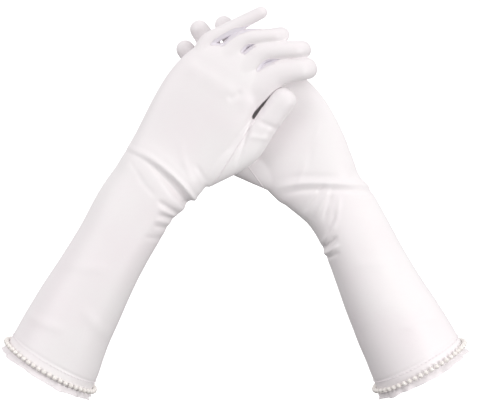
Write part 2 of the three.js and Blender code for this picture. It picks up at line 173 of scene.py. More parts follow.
JOINTS = {joint["name"]: joint for joint in frame["joints"]}


def joint_point(name):
    return np.array(JOINTS[name]["pos_m"], float) / MM


def joint_axis(name):
    return unit(np.array(JOINTS[name]["axis"], float))


def quarter_turn(across):
    """Direction along a limb whose direction across it, to its right as seen from the front, is given."""
    return np.array([-across[2], 0.0, across[0]])


def rightwards(along):
    return np.array([along[2], 0.0, -along[0]])


class Glove:
    """One glove's frame: sleeve and hand directions, wrist, and which way its thumb and its back lie."""

    def __init__(self, side, wrist, arm, hand, thumb_sign):
        self.side, self.wrist, self.arm, self.hand = side, wrist, arm, hand
        self.thumb_sign = thumb_sign
        self.thumbward = rightwards(hand) * thumb_sign
        self.cuff = wrist - arm * SLEEVE

    def point(self, s, a, y=0.0):
        """s past the wrist, a towards the thumb, y away from the viewer."""
        return self.wrist + self.hand * s + self.thumbward * a + AWAY * y

    def hand_place(self, p):
        """Length past the wrist and distance towards the thumb of each point."""
        return (p - self.wrist) @ self.hand, (p - self.wrist) @ self.thumbward

    def sleeve_place(self, p):
        """Length up from the cuff mouth and distance to the right of the sleeve's middle line."""
        return (p - self.cuff) @ self.arm, (p - self.cuff) @ rightwards(self.arm)


LEFT = Glove("left", joint_point("left_wrist_bend"), quarter_turn(joint_axis("left_wrist_bend")),
             -joint_axis("left_thumb_lift"), 1)
RIGHT = Glove("right", joint_point("right_wrist_bend"), quarter_turn(joint_axis("right_wrist_bend")),
              -joint_axis("right_glove_draw"), -1)
LEFT.drop, RIGHT.drop = 3.0, -3.0


# ---- limbs: a section carried along a route ----

class Limb:
    """A rounded tube along a route. Half sizes are given at stations: to the right, to the left, to the front and
    to the back; power under one squares the section. A round end shrinks as a half ellipse."""

    def __init__(self, path, sideways, stations, right, left, front, back, power=1.0, tip=0.0):
        self.path, self.sideways, self.stations = path, sideways, stations
        self.sizes = (right, left, front, back)
        self.power = power if np.ndim(power) else [power] * len(stations)
        self.tip = tip
        self.length = route_length(path)
        self.upright = self.length

    def across(self, heading):
        """Direction to the right of the limb; where it turns away from the viewer the last one is kept."""
        if self.sideways is None:
            return rightwards_of(heading)
        kept = np.broadcast_to(self.sideways, heading.shape)
        ahead = heading @ quarter_turn(self.sideways)
        return np.where(ahead[:, None] > 0.1, rightwards_of(heading), kept)

    def place(self, q):
        """Length along the limb's upright run, distance to its right, and distance away from the viewer."""
        line, heading = along_route(self.path, np.arange(0, self.upright, 0.8))
        best, t = np.full(len(q), np.inf), np.zeros(len(q), int)
        for i, point in enumerate(line):
            d = (q[:, 0] - point[0]) ** 2 + (q[:, 2] - point[2]) ** 2
            closer = d < best
            best, t = np.where(closer, d, best), np.where(closer, i, t)
        offset = q - line[t]
        ahead = (offset * heading[t]).sum(axis=1)
        aside = (offset * rightwards_of(heading[t])).sum(axis=1)
        return t * 0.8 + ahead, aside, offset[:, 1]

    def skin(self, s, turn, grow=0.0):
        """Points at length s and angle turn; turn 0 faces right and a quarter turn faces the front."""
        s, turn, grow = np.broadcast_arrays(np.asarray(s, float), np.asarray(turn, float), np.asarray(grow, float))
        flat_s, flat_turn, flat_grow = s.ravel(), turn.ravel(), grow.ravel()
        centre, heading = along_route(self.path, flat_s)
        across = self.across(heading)
        depth = units(np.cross(across, heading))
        right, left, front, back = (curve_through(self.stations, v, flat_s) + flat_grow for v in self.sizes)
        power = curve_through(self.stations, self.power, flat_s)
        c, d = squared(np.cos(flat_turn), power), squared(np.sin(flat_turn), power)
        wide = np.where(c > 0, right, left) * c
        deep = np.where(d > 0, front, back) * d
        if self.tip:
            into = np.clip((flat_s - (self.length - self.tip)) / self.tip, 0, 1)
            close = np.sqrt(np.maximum(1 - into**2, 0.0))
            wide, deep = wide * close, deep * close
        return (centre + across * wide[:, None] + depth * deep[:, None]).reshape(s.shape + (3,))

    def solid(self, turns=56):
        """The limb as a closed skin of triangles."""
        body = np.arange(0, self.length - self.tip, 1.6)
        rounding = 1 - np.sin(np.linspace(0, math.pi / 2, 14)[:-1])
        end = self.length - self.tip * rounding if self.tip else [self.length]
        s = np.concatenate([body, end])
        turn = circle(turns)
        return closed_skin(self.skin(s[:, None], turn[None, :]))


def rightwards_of(headings):
    return units(np.column_stack([headings[:, 2], np.zeros(len(headings)), -headings[:, 0]]))


def closed_skin(rings):
    """Triangles over a stack of rings, with a fan at each end."""
    n, m, _ = rings.shape
    points = np.vstack([rings.reshape(-1, 3), rings[0].mean(0), rings[-1].mean(0)])
    i, j = np.meshgrid(np.arange(n - 1) * m, np.arange(m), indexing="ij")
    k = (j + 1) % m
    a, b, c, d = (x.ravel() for x in (i + j, i + k, i + m + k, i + m + j))
    around = np.arange(m)
    after = (around + 1) % m
    first = np.column_stack([np.full(m, n * m), after, around])
    last = np.column_stack([np.full(m, n * m + 1), (n - 1) * m + around, (n - 1) * m + after])
    return points, np.vstack([np.column_stack([a, b, c]), np.column_stack([a, c, d]), first, last])


def ball(centre, radius, rings=9, turns=14):
    """Sphere: rings of points from its lowest point to its highest."""
    up = np.linspace(-math.pi / 2, math.pi / 2, rings)[:, None]
    turn = circle(turns)[None, :]
    unit_ball = np.stack([np.cos(up) * np.cos(turn), np.cos(up) * np.sin(turn), np.sin(up) + 0 * turn], axis=-1)
    return closed_skin(centre + unit_ball * radius)


# ---- the two gloves' limbs ----

# Half widths of sleeve and hand from the cuff mouth up, to the right and to the left as seen from the front.
LEFT_STATIONS = [-14, 0, 15, 30, 45, 60, 90, 120, 150, 165, 174, 182, 190, 202, 214, 226, 250, 270, 285, 296, 306,
                 312, 318, 324]
LEFT_RIGHT = [42, 42, 40.6, 37.6, 35.2, 33.6, 30.3, 28.4, 28.4, 28.4, 30.6, 34.2, 35.6, 38.0, 39.6, 40.6, 41.4, 41.2,
              39.8, 38.4, 36, 31, 26, 21]
LEFT_LEFT = [42, 42, 42, 42.3, 42, 41.5, 39.7, 38.6, 39.2, 38.9, 38.2, 37.4, 37.2, 37.5, 38.3, 39.4, 41.4, 42.2, 41,
             38.4, 34.2, 29.5, 22, 12]
RIGHT_STATIONS = [-14, 0, 15, 30, 45, 60, 75, 105, 135, 150, 162, 172, 182, 190, 202, 214, 238, 256, 270, 284, 296,
                  306, 314, 322]
RIGHT_RIGHT = [43, 43, 43, 42.3, 41.2, 39.7, 38.4, 36.9, 37, 36.8, 36.2, 34.4, 33.6, 35.6, 39.2, 42, 45.6, 45.4, 43,
               40.4, 38.4, 36, 33, 29]
RIGHT_LEFT = [42.4, 42.4, 41.2, 39.3, 38, 36.1, 34.2, 29.4, 26, 25.8, 27.6, 31.4, 35.6, 38.4, 41, 42.4, 43, 43, 42,
              40.4, 38.2, 36, 33, 29]
DEPTH_STATIONS = [-14, 0, 60, 120, 160, 180, 190, 205, 220, 240, 270, 286, 298, 306, 314, 324]
BACK_OF_HAND = [36.5, 36, 31.5, 26.5, 22.6, 20.6, 19.6, 17.4, 15, 13.4, 12.0, 10.6, 8.8, 7.4, 5.8, 3.4]
PALM_OF_HAND = [36.5, 36, 31.5, 26.5, 22.6, 20.6, 19.6, 17.4, 15, 13, 11.8, 11.4, 10.6, 9.4, 7.6, 5]
SQUARE = [1, 1, 1, 1, 1, 1, 0.97, 0.92, 0.86, 0.8, 0.78, 0.8, 0.84, 0.86, 0.9, 0.95]


BODY_PAST = {"left": 24.0, "right": 16.0}      # the hand's cloth runs on between the fingers


def body_limb(glove, right_side, left_side, stations):
    """Sleeve and hand as one limb that bends a little at the wrist; station 0 is the cuff mouth."""
    start = glove.cuff - glove.arm * BELOW_CUFF
    end = glove.point(HAND + BODY_PAST[glove.side], 0)
    path = route([start, glove.wrist, end], [70.0])
    back, palm = BACK_OF_HAND, PALM_OF_HAND
    front_back = (back, palm) if glove is LEFT else (palm, back)
    at = np.array(DEPTH_STATIONS) + BELOW_CUFF
    s = np.array(stations) + BELOW_CUFF
    front, behind = (curve_through(at, v, s) for v in front_back)
    power = curve_through(at, SQUARE, s)
    return Limb(path, None, s, right_side, left_side, front, behind, power)


def leaning(degrees):
    """Upright direction at an angle up from level."""
    angle = math.radians(degrees)
    return np.array([math.cos(angle), 0, math.sin(angle)])


def finger_limb(corners, bends, right, left, depth, swell=(1.0, 1.0, 0.98, 1.01, 0.97, 0.96, 0.9)):
    """Finger carried through its corners, a little waisted between its joints."""
    path = route(corners, bends)
    length = route_length(path)
    stations = np.array([0, 0.16, 0.34, 0.52, 0.68, 0.84, 1]) * length
    swell = np.array(swell)
    return Limb(path, None, stations, right * swell, left * swell, depth * swell, depth * swell, 0.9,
                tip=(right + left) * 0.45)


def hook_limb(corners, along, stations, right, left, depth):
    """Clasping finger: over its arch, away round the other hand's edge, and in behind it."""
    bend = corners[-1] + AWAY * 36
    curl = math.radians(50)
    end = bend + AWAY * 21 * math.cos(curl) - along * 21 * math.sin(curl)
    path = route([*corners, bend, end], [20.0, 8.3, 12.0])
    made = Limb(path, rightwards(along), stations, right, left, depth, depth, 0.9, tip=5.6)
    made.upright = sum(np.linalg.norm(b - a) for a, b in zip(corners, corners[1:])) - 9.0
    return made


def thumb_limb(glove, close, opening):
    """Thumb from the heel of the hand out along its edge, built open by some degrees."""
    drop = glove.thumb_sign * 1.0
    base, joint = glove.point(28, 28, drop), glove.point(*THUMB_JOINT[glove.side], drop)
    angle = math.radians(close + opening)
    along = glove.hand * math.cos(angle) + glove.thumbward * math.sin(angle)
    path = route([base, joint, joint + along * (67.5 if glove is LEFT else 73.5)], [60.0])
    twist = math.radians(12)
    across = rightwards(glove.hand) * math.cos(twist) - glove.hand * math.sin(twist)
    length = route_length(path)
    stations = np.array([0, 0.2, 0.4, 0.55, 0.7, 0.85, 1]) * length
    wide = np.array([16, 14.8, 13.0, 11.6, 11.2, 10.9, 9.8])
    deep = np.array([10.4, 10.4, 10.1, 9.6, 9.4, 9.0, 8.0])
    made = Limb(path, None, stations, wide, wide, deep, deep, 0.92, tip=9.0)
    made.sideways = across if glove is LEFT else None
    return made


# Each left finger rises off its knuckle at an angle, for a length, and then leans over towards its far corner.
LEFT_ARCHES = {"index": (35.8, 25.8), "middle": (45.6, 35.0), "ring": (50.6, 35.4), "little": (67.3, 17.1)}
KNUCKLE_RISE = 1.6         # the knuckles stand this much nearer to the viewer than the arches
LITTLE_LEAN, LITTLE_REACH = 26.6, 59.0
# Half widths along a clasping finger, from inside the knuckles: places, right, left, and half depth.
HOOK_SIZES = {
    "index": ([0, 9, 18, 31, 44, 58, 73, 92, 112, 130], [14, 16.5, 15, 12.6, 12, 9.3, 8.9, 8.4, 7.8, 6.8],
              [9, 9.5, 10, 11.8, 13, 12.2, 10.2, 8.8, 8, 7], [8.4, 8.4, 8.4, 8.6, 8.8, 8.6, 8.4, 8, 7.4, 6.6]),
    "middle": ([0, 18, 33, 45, 53, 64, 78, 89, 108, 128, 146], [9, 9, 9.2, 9.2, 8.6, 7.4, 6.4, 6.6, 7, 7, 6.2],
               [9, 9.4, 10.4, 10.9, 10.6, 9.8, 9, 8.8, 8.2, 7.4, 6.4],
               [8.4, 8.4, 8.4, 8.5, 8.6, 8.4, 8.2, 8, 7.8, 7.2, 6.4]),
    "ring": ([0, 18, 33, 45, 53, 64, 78, 89, 108, 128, 146], [9, 9, 9.8, 9.6, 8.2, 6.6, 5.8, 6, 6.6, 6.6, 6],
             [8.6, 9.2, 10, 9.6, 8.4, 7.4, 6.8, 6.8, 6.8, 6.8, 6],
             [8.2, 8.2, 8, 7.9, 7.8, 7.6, 7.4, 7.4, 7.4, 7, 6.2]),
}
LITTLE_SIZES = 6.5, 6.0, 6.6
LITTLE_SWELL = 1.5, 1.35, 1.12, 1.0, 0.97, 0.94, 0.86
RIGHT_LEANS = {"index": (126.5, 61, 8.6), "middle": (124.3, 68, 9.0), "ring": (122, 58.5, 8.6),
               "little": (120, 31, 7.4)}
THUMB_JOINT = {"left": (62, 51.6), "right": (62, 51)}
THUMB_CLOSE = {"left": 3.8, "right": 8.0}


def left_fingers():
    limbs = {}
    for name, (rise, up) in LEFT_ARCHES.items():
        root = LEFT.point(HAND, SLOTS[name] * PITCH, LEFT.drop - KNUCKLE_RISE)
        first = leaning(rise)
        start, arch = root - first * PITCH, root + first * up + AWAY * KNUCKLE_RISE
        if name == "little":
            along = leaning(LITTLE_LEAN)
            slim = (size - FULLNESS for size in LITTLE_SIZES)
            limb = finger_limb([start, arch, arch + along * LITTLE_REACH], [20.0], *slim, LITTLE_SWELL)
        else:
            along = quarter_turn(joint_axis(f"left_{name}_open"))
            stations, *sizes = (np.array(v, float) for v in HOOK_SIZES[name])
            slim = [v - FULLNESS * smoothstep(28, 44, stations) for v in sizes]
            limb = hook_limb([start, arch, joint_point(f"left_{name}_open")], along, stations, *slim)
        limb.rise, limb.along = first, along
        limbs[name] = limb
    return limbs


def right_fingers():
    limbs = {}
    for name, (lean, reach, wide) in RIGHT_LEANS.items():
        along = leaning(lean)
        root = RIGHT.point(HAND, SLOTS[name] * PITCH, RIGHT.drop)
        slim = wide - FULLNESS
        limb = finger_limb([root - along * PITCH, root + along * reach], [], slim, slim, slim - 0.2)
        limb.rise = along
        limbs[name] = limb
    return limbs


LEFT.body = body_limb(LEFT, LEFT_RIGHT, LEFT_LEFT, LEFT_STATIONS)
RIGHT.body = body_limb(RIGHT, RIGHT_RIGHT, RIGHT_LEFT, RIGHT_STATIONS)
LEFT.fingers, RIGHT.fingers = left_fingers(), right_fingers()
for glove in (LEFT, RIGHT):
    glove.thumb = thumb_limb(glove, THUMB_CLOSE[glove.side], THUMB_OPENING)
    glove.closed_thumb = thumb_limb(glove, THUMB_CLOSE[glove.side], 0.0)


# ---- one merged skin ----

def gathered(solids):
    """Several sets of points and triangles as one set."""
    points, triangles, offset = [], [], 0
    for p, t in solids:
        points.append(p)
        triangles.append(t + offset)
        offset += len(p)
    return np.vstack(points), np.vstack(triangles)


def merged(solids):
    """Overlapping closed skins merged into one even skin of quads, then cut into triangles."""
    mesh = mesh_of("merging", *gathered(solids), scale=1.0)
    obj = bpy.data.objects.new("merging", mesh)
    bpy.context.scene.collection.objects.link(obj)
    remesh = obj.modifiers.new("even", "REMESH")
    remesh.mode = "VOXEL"
    remesh.voxel_size = VOXEL
    remesh.adaptivity = 0
    even = obj.evaluated_get(bpy.context.evaluated_depsgraph_get()).to_mesh()
    even.calc_loop_triangles()
    p = np.empty(len(even.vertices) * 3)
    even.vertices.foreach_get("co", p)
    t = np.empty(len(even.loop_triangles) * 3, np.int32)
    even.loop_triangles.foreach_get("vertices", t)
    bpy.data.objects.remove(obj)
    bpy.data.meshes.remove(mesh)
    return p.reshape(-1, 3), t.reshape(-1, 3).astype(np.int64)


def edges_of(t):
    pairs = np.sort(np.vstack([t[:, [0, 1]], t[:, [1, 2]], t[:, [2, 0]]]), axis=1)
    return np.unique(pairs, axis=0)


def neighbour_mean(p, pairs, count):
    total = np.column_stack([np.bincount(pairs[:, 0], p[pairs[:, 1], k], len(p))
                             + np.bincount(pairs[:, 1], p[pairs[:, 0], k], len(p)) for k in range(3)])
    return total / count[:, None]


def smoothed(p, t, rounds):
    """Each point moves half way to the mean of its neighbours, then a little back so that nothing shrinks."""
    pairs = edges_of(t)
    count = np.maximum(np.bincount(pairs.ravel(), minlength=len(p)), 1)
    for _ in range(rounds):
        p = p + 0.5 * (neighbour_mean(p, pairs, count) - p)
        p = p - 0.21 * (neighbour_mean(p, pairs, count) - p)
    return p


def normals_of(p, t):
    """Unit normal of each point, weighted by the area of the faces round it."""
    face = np.cross(p[t[:, 1]] - p[t[:, 0]], p[t[:, 2]] - p[t[:, 0]])
    total = np.column_stack([sum(np.bincount(t[:, c], face[:, k], len(p)) for c in range(3)) for k in range(3)])
    return total / np.maximum(np.linalg.norm(total, axis=1), 1e-12)[:, None]


# ---- folds and creases ----

def crease(s, a, place, tilt, half_length, width, height):
    """A ridge (or a groove, when height is negative) along a short straight line that fades at its two ends."""
    angle = math.radians(tilt)
    ds, da = s - place[0], a - place[1]
    along = ds * math.sin(angle) + da * math.cos(angle)
    aside = ds * math.cos(angle) - da * math.sin(angle)
    return height * bump(aside, width) * smoothstep(1.0, 0.35, np.abs(along) / half_length)


# Short folds on the sleeve and hand: (length up from the cuff, distance right), tilt, half length, width, height.
LEFT_FRONT_FOLDS = [
    ((176, 20), -6, 13, 2.4, -1.1), ((168, 25), 8, 12, 2.0, -1.0), ((172, 22), 2, 10, 1.6, 0.8),
    ((158, 25), 14, 11, 2.2, -0.8), ((163, 23), 10, 10, 1.8, 0.6), ((147, 24), 20, 12, 2.6, -0.5),
    ((183, -6), -18, 16, 2.6, -0.5), ((190, -20), -24, 13, 2.2, -0.4),
    ((212, 20), -38, 18, 3.0, 0.45), ((222, 8), -52, 16, 3.0, 0.35), ((216, 30), -28, 12, 2.2, -0.5),
    ((36, -22), 12, 22, 4.5, 0.5), ((58, 14), -20, 24, 5.0, 0.4), ((96, -16), 26, 26, 5.0, 0.35),
]
RIGHT_FRONT_FOLDS = [
    ((180, -12), 24, 20, 2.2, -1.5), ((174, -6), 34, 18, 2.0, 1.1), ((168, -4), 44, 17, 2.0, -1.2),
    ((161, 2), 54, 16, 2.2, 0.8), ((154, -8), 38, 14, 2.2, -1.1), ((146, -14), 30, 14, 2.4, 1.2),
    ((138, -20), 18, 13, 2.0, -2.0), ((132, -21), 10, 12, 1.8, 1.6), ((127, -22), 6, 10, 1.8, -1.0),
    ((205, -10), 40, 18, 3.0, 0.6), ((216, 4), 46, 18, 3.2, -0.5), ((228, 16), 40, 16, 3.0, 0.4),
    ((40, 18), -14, 22, 4.5, 0.5), ((66, -12), 22, 24, 5.0, 0.4), ((104, 10), -24, 26, 5.0, 0.35),
]
BACK_FOLDS = [
    ((186, 4), 4, 22, 2.6, -0.9), ((180, -4), -6, 22, 2.4, 0.7), ((173, 6), 8, 20, 2.4, -0.7),
    ((196, 0), -2, 20, 2.6, 0.6), ((164, -8), -14, 18, 2.6, -0.5), ((54, 10), 16, 24, 5.0, 0.4),
    ((98, -10), -20, 26, 5.0, 0.35), ((208, 12), 24, 16, 2.8, -0.4),
]


def left_wrist_fold(s, a):
    """The hand's cloth bellies over the sleeve: a rim, and a hollow under it, both stronger towards the thumb."""
    line = curve_through([-40, -17, 5, 20, 36], [200.5, 203, 200, 196, 189.5], a)
    strong = smoothstep(-52, 10, a)
    deep = smoothstep(-26, 24, a)
    d = s - line
    rim = 2.2 * bump(d - 3.2, 2.6) + 0.7 * bump(d - 9, 5)
    hollow = -(1.0 + 4.4 * deep) * bump(d + 1.6 + 2.4 * deep, 1.5 + 3.0 * deep)
    return strong * (rim + hollow)


def right_wrist_fold(s, a):
    """A raised band that runs across the wrist, with a hollow under it."""
    line = curve_through([-40, -17, 10, 36], [203, 197, 183, 166], a)
    d = s - line
    strong = smoothstep(-46, -10, a)
    return strong * (1.4 * bump(d - 0.5, 2.8) - 1.1 * bump(d + 6.2, 2.8) - 0.5 * bump(d - 7.5, 3.0))


def waver(p, seed):
    """Slow unevenness of stretched cloth: a few sine waves crossing at different slants."""
    random = np.random.default_rng(seed)
    total = np.zeros(len(p))
    for _ in range(9):
        direction = random.normal(size=3)
        direction /= np.linalg.norm(direction)
        total += np.sin(p @ direction * random.uniform(0.05, 0.19) + random.uniform(0, 6.28))
    return total / 3


def folded(glove, p, n):
    """Moves each point along its normal by the folds that its place calls for."""
    s, a = glove.sleeve_place(p)
    facing = -n[:, 1]
    front, back = smoothstep(-0.35, 0.35, facing), smoothstep(0.35, -0.35, facing)
    hand_s, hand_a = glove.hand_place(p)
    on_body = smoothstep(HAND + 12, HAND - 8, hand_s)
    lift = np.zeros(len(p))
    lists = ((LEFT_FRONT_FOLDS, front) if glove is LEFT else (RIGHT_FRONT_FOLDS, front), (BACK_FOLDS, back))
    for folds, share in lists:
        for place, tilt, half_length, width, height in folds:
            lift += share * crease(s, a, place, tilt, half_length, width, height)
    knuckle_side = front if glove is LEFT else back
    for slot in SLOTS.values():
        place = (hand_s - HAND + 8) ** 2 + (hand_a - slot * PITCH) ** 2
        lift += 1.1 * knuckle_side * np.exp(-place / 70.0)
    if glove is LEFT:
        lift += left_wrist_fold(s, a) * (0.35 + 0.65 * front)
        lift += 0.9 * front * crease(hand_s, hand_a, (100, 17.5), 60, 9, 3.2, -1.0)
        lift += front * crease(hand_s, hand_a, (70, 46), -76, 30, 1.7, -1.5)
        lift += front * crease(hand_s, hand_a, (94, 57), 8, 15, 2.4, -0.9)
        lift += front * crease(hand_s, hand_a, (80, 54), 24, 13, 2.6, 0.7)
    else:
        lift += right_wrist_fold(s, a) * (0.35 + 0.65 * front)
    lift -= 0.4 * bump(s - HEM, 0.9)
    lift += 0.16 * waver(p, 5 if glove is LEFT else 8) * smoothstep(0, 12, s)
    return p + n * (lift * on_body * smoothstep(-2, 4, s))[:, None]


def filled_out(glove, p, n):
    """Fills the fingers out to their full thickness."""
    s, _ = glove.hand_place(p)
    return p + n * (FULLNESS * smoothstep(HAND - 6, HAND + 8, s))[:, None]


def thumb_closed(glove, p):
    """Turns the thumb in against the hand, more and more over its first joint."""
    s, a = glove.hand_place(p)
    joint = THUMB_JOINT[glove.side]
    own = nearest_route(p, [glove.thumb, glove.fingers["index"]]) == 0
    share = smoothstep(joint[0] - 4, joint[0] + 24, s) * smoothstep(41.0, 47.0, a) * (own | (s < HAND - 6))
    angle = np.radians(THUMB_OPENING) * share
    ds, da = s - joint[0], a - joint[1]
    new_s = joint[0] + ds * np.cos(angle) + da * np.sin(angle)
    new_a = joint[1] - ds * np.sin(angle) + da * np.cos(angle)
    return p + (new_s - s)[:, None] * glove.hand + (new_a - a)[:, None] * glove.thumbward


# ---- cutting along seams ----

class Skin:
    """Points with normals, and triangles."""

    def __init__(self, p, n, t):
        self.p, self.n, self.t = p, n, t

    def centres(self):
        return self.p[self.t].mean(axis=1)

    def cut(self, field, where=None):
        """Splits the triangles that cross field = 0, where they are wanted, so that edges lie on that line."""
        f = field(self.p)
        f = np.where(np.abs(f) < 1e-5, 1e-5, f)
        above = f[self.t] > 0
        crossing = above.any(axis=1) & ~above.all(axis=1)
        if where is not None:
            crossing &= where
        t = self.t[crossing]
        if not len(t):
            return self
        up = above[crossing]
        lone_is_up = up.sum(axis=1) == 1
        lone = np.argmax(up == lone_is_up[:, None], axis=1)
        rows = np.arange(len(t))
        a, b, c = t[rows, lone], t[rows, (lone + 1) % 3], t[rows, (lone + 2) % 3]
        pairs = np.sort(np.vstack([np.column_stack([a, b]), np.column_stack([a, c])]), axis=1)
        pairs, which = np.unique(pairs, axis=0, return_inverse=True)
        which = which.ravel() + len(self.p)
        share = (f[pairs[:, 0]] / (f[pairs[:, 0]] - f[pairs[:, 1]]))[:, None]
        new_p = self.p[pairs[:, 0]] * (1 - share) + self.p[pairs[:, 1]] * share
        new_n = units(self.n[pairs[:, 0]] * (1 - share) + self.n[pairs[:, 1]] * share)
        ab, ac = which[:len(a)], which[len(a):]
        fresh = np.vstack([np.column_stack(x) for x in ((a, ab, ac), (ab, b, c), (ab, c, ac))])
        return Skin(np.vstack([self.p, new_p]), np.vstack([self.n, new_n]), np.vstack([self.t[~crossing], fresh]))

    def part(self, keep):
        """The triangles marked in keep, with only the points that they use."""
        used, t = np.unique(self.t[keep], return_inverse=True)
        return Skin(self.p[used], self.n[used], t.reshape(-1, 3))

    def edge_loops(self):
        """Closed runs of points along the open edges, longest first."""
        t = self.t
        directed = np.vstack([t[:, [0, 1]], t[:, [1, 2]], t[:, [2, 0]]])
        key, count = np.unique(np.sort(directed, axis=1), axis=0, return_counts=True)
        single = {tuple(x) for x in key[count == 1]}
        follow = {a: b for a, b in directed.tolist() if (min(a, b), max(a, b)) in single}
        loops = []
        while follow:
            start, at = next(iter(follow.items()))
            loop = [start]
            del follow[start]
            while at in follow:
                loop.append(at)
                at = follow.pop(at)
            loops.append(loop)
        return sorted(loops, key=len, reverse=True)


def nearest_route(p, limbs):
    """Which limb's route each point lies nearest to."""
    best = np.full(len(p), np.inf)
    which = np.zeros(len(p), int)
    for i, limb in enumerate(limbs):
        line = limb.path[::2]
        d = np.full(len(p), np.inf)
        for q in line:
            d = np.minimum(d, ((p - q) ** 2).sum(axis=1))
        d = np.sqrt(d)
        closer = d < best
        best, which = np.where(closer, d, best), np.where(closer, i, which)
    return which


FINGER_NAMES = ("index", "middle", "ring", "little")
# Fourchettes: the narrow strips let in along the sides of the fingers that face each other.
STRIP_SIDES = {"index": ("little_side",), "middle": ("thumb_side", "little_side"),
               "ring": ("thumb_side", "little_side"), "little": ("thumb_side",)}
STRIP_HALF = 3.3
STRIP_LEAN = 3.0          # on the left glove the strips show towards the viewer
STRIP_ENDS = {"left": {"index": 48, "middle": 58, "ring": 56, "little": 62},
              "right": {"index": 48, "middle": 55, "ring": 48, "little": 28}}


def built_skin(glove):
    """The whole glove's skin: merged limbs, smoothed and folded, with the cuff cut open."""
    web = Limb(route([glove.point(50, 38), glove.point(92, 45.5)], []), None, [0, 20, 40],
               [7, 6.5, 5], [7, 6.5, 5], [8, 7, 5.5], [8, 7, 5.5], 1.0, tip=4.0)
    solids = [glove.body.solid(96), glove.thumb.solid(), web.solid()]
    solids += [limb.solid(40) for limb in glove.fingers.values()]
    p, t = merged(solids)
    p = smoothed(p, t, SMOOTHING)
    p = filled_out(glove, p, normals_of(p, t))
    p = thumb_closed(glove, p)
    p = folded(glove, p, normals_of(p, t))
    p = smoothed(p, t, 1)
    skin = Skin(p, normals_of(p, t), t)

    def mouth(q):
        return glove.sleeve_place(q)[0] - mouth_line(q, glove)

    skin = skin.cut(mouth)
    return skin.part(mouth(skin.centres()) > 0)


def mouth_line(p, glove):
    """The cuff mouth dips a little at the front and rises at the back."""
    return 0.055 * np.clip(p[..., 1] - glove.cuff[1], -38, 38)


def on_thumb(glove, centre, limbs):
    """Which places belong to the set-in thumb; the first limb is the thumb's."""
    s, a = glove.hand_place(centre)
    nearest = nearest_route(centre, limbs) == 0
    return (a > THUMB_PLANE) & (s > THUMB_FOOT) & (s < THUMB_TOP) & (nearest | (s < HAND - 2))


def cut_pieces(glove):
    """Cuts the skin along the thumb seam, the finger roots and the fourchettes, and gives each part by name."""
    skin = glove.built
    limbs = [glove.closed_thumb] + [glove.fingers[name] for name in FINGER_NAMES]
    near_thumb = nearest_route(skin.centres(), [glove.closed_thumb, glove.fingers["index"]]) == 0
    place = glove.hand_place(skin.centres())[0]
    low = (place < HAND - 2) & (place > THUMB_FOOT)
    skin = skin.cut(lambda q: glove.hand_place(q)[1] - THUMB_PLANE, near_thumb & low)
    thumb = on_thumb(glove, skin.centres(), limbs)
    skin = skin.cut(lambda q: glove.hand_place(q)[0] - HAND - ROOT_GAP, ~thumb)
    for left_name, right_name in zip(FINGER_NAMES, FINGER_NAMES[1:]):
        one, two = glove.fingers[left_name], glove.fingers[right_name]
        middle = (glove.point(HAND, SLOTS[left_name] * PITCH) + glove.point(HAND, SLOTS[right_name] * PITCH)) / 2
        aside = rightwards(unit(one.rise + two.rise)) * glove.thumb_sign
        beyond = glove.hand_place(skin.centres())[0] > HAND + ROOT_GAP
        close = np.abs((skin.centres() - middle) @ aside) < 3
        skin = skin.cut(lambda q: (q - middle) @ aside, beyond & close)
    centre = skin.centres()
    thumb = on_thumb(glove, centre, limbs)
    finger = (glove.hand_place(centre)[0] > HAND + ROOT_GAP) & ~thumb
    parts = {"trank": skin.part(~thumb & ~finger), "thumb": skin.part(thumb)}
    nearest = nearest_route(centre, limbs[1:])
    for i, name in enumerate(FINGER_NAMES):
        parts[name] = skin.part(finger & (nearest == i))
    for name in FINGER_NAMES:
        parts.update(strips_of(glove, name, parts[name]))
    return parts


def strips_of(glove, name, skin):
    """Parts a finger's skin into its fourchettes and what is left."""
    limb = glove.fingers[name]
    end = min(limb.upright, PITCH + STRIP_ENDS[glove.side][name])
    lean = STRIP_LEAN if glove is LEFT else 0.0

    def outline(t, y):
        width = STRIP_HALF * np.sqrt(np.clip((t - PITCH - 4) / 9, 0, 1)) * smoothstep(end, end - 20, t)
        return width - np.abs(y + lean) - 0.02 - 4.0 * (t < PITCH + 4)

    def line(q):
        t, _, y = limb.place(q)
        return outline(t, y)

    parts = {}
    for side in STRIP_SIDES[name]:
        sign = (1 if side == "thumb_side" else -1) * glove.thumb_sign
        _, aside, _ = limb.place(skin.centres())
        skin = skin.cut(line, aside * sign > 1.5)
        t, aside, y = limb.place(skin.centres())
        strip = (aside * sign > 1.5) & (outline(t, y) > 0)
        parts[f"{name}_fourchette_{side}"] = skin.part(strip)
        skin = skin.part(~strip)
    parts[name] = skin
    return parts


# ---- meshes ----

def mesh_of(name, p, faces, scale=MM):
    """A mesh from rows of points and rows of three or four corners."""
    mesh = bpy.data.meshes.new(name)
    corners = faces.shape[1]
    mesh.vertices.add(len(p))
    mesh.vertices.foreach_set("co", (p * scale).astype(np.float32).ravel())
    mesh.loops.add(faces.size)
    mesh.loops.foreach_set("vertex_index", faces.astype(np.int32).ravel())
    mesh.polygons.add(len(faces))
    mesh.polygons.foreach_set("loop_start", (np.arange(len(faces)) * corners).astype(np.int32))
    mesh.update(calc_edges=True)
    mesh.validate()
    return mesh


def new_piece(name, p, faces, material):
    """A smooth-shaded object at the origin with its place in its mesh."""
    mesh = mesh_of(name, p, faces)
    mesh.shade_smooth()
    mesh.materials.append(material)
    obj = bpy.data.objects.new(name, mesh)
    bpy.context.scene.collection.objects.link(obj)
    return obj


def skin_piece(name, skin, material):
    """A part of the skin that keeps the whole skin's normals, so that cut edges don't show in the shading."""
    obj = new_piece(name, skin.p, skin.t, material)
    obj.data.normals_split_custom_set_from_vertices(skin.n.tolist())
    return obj


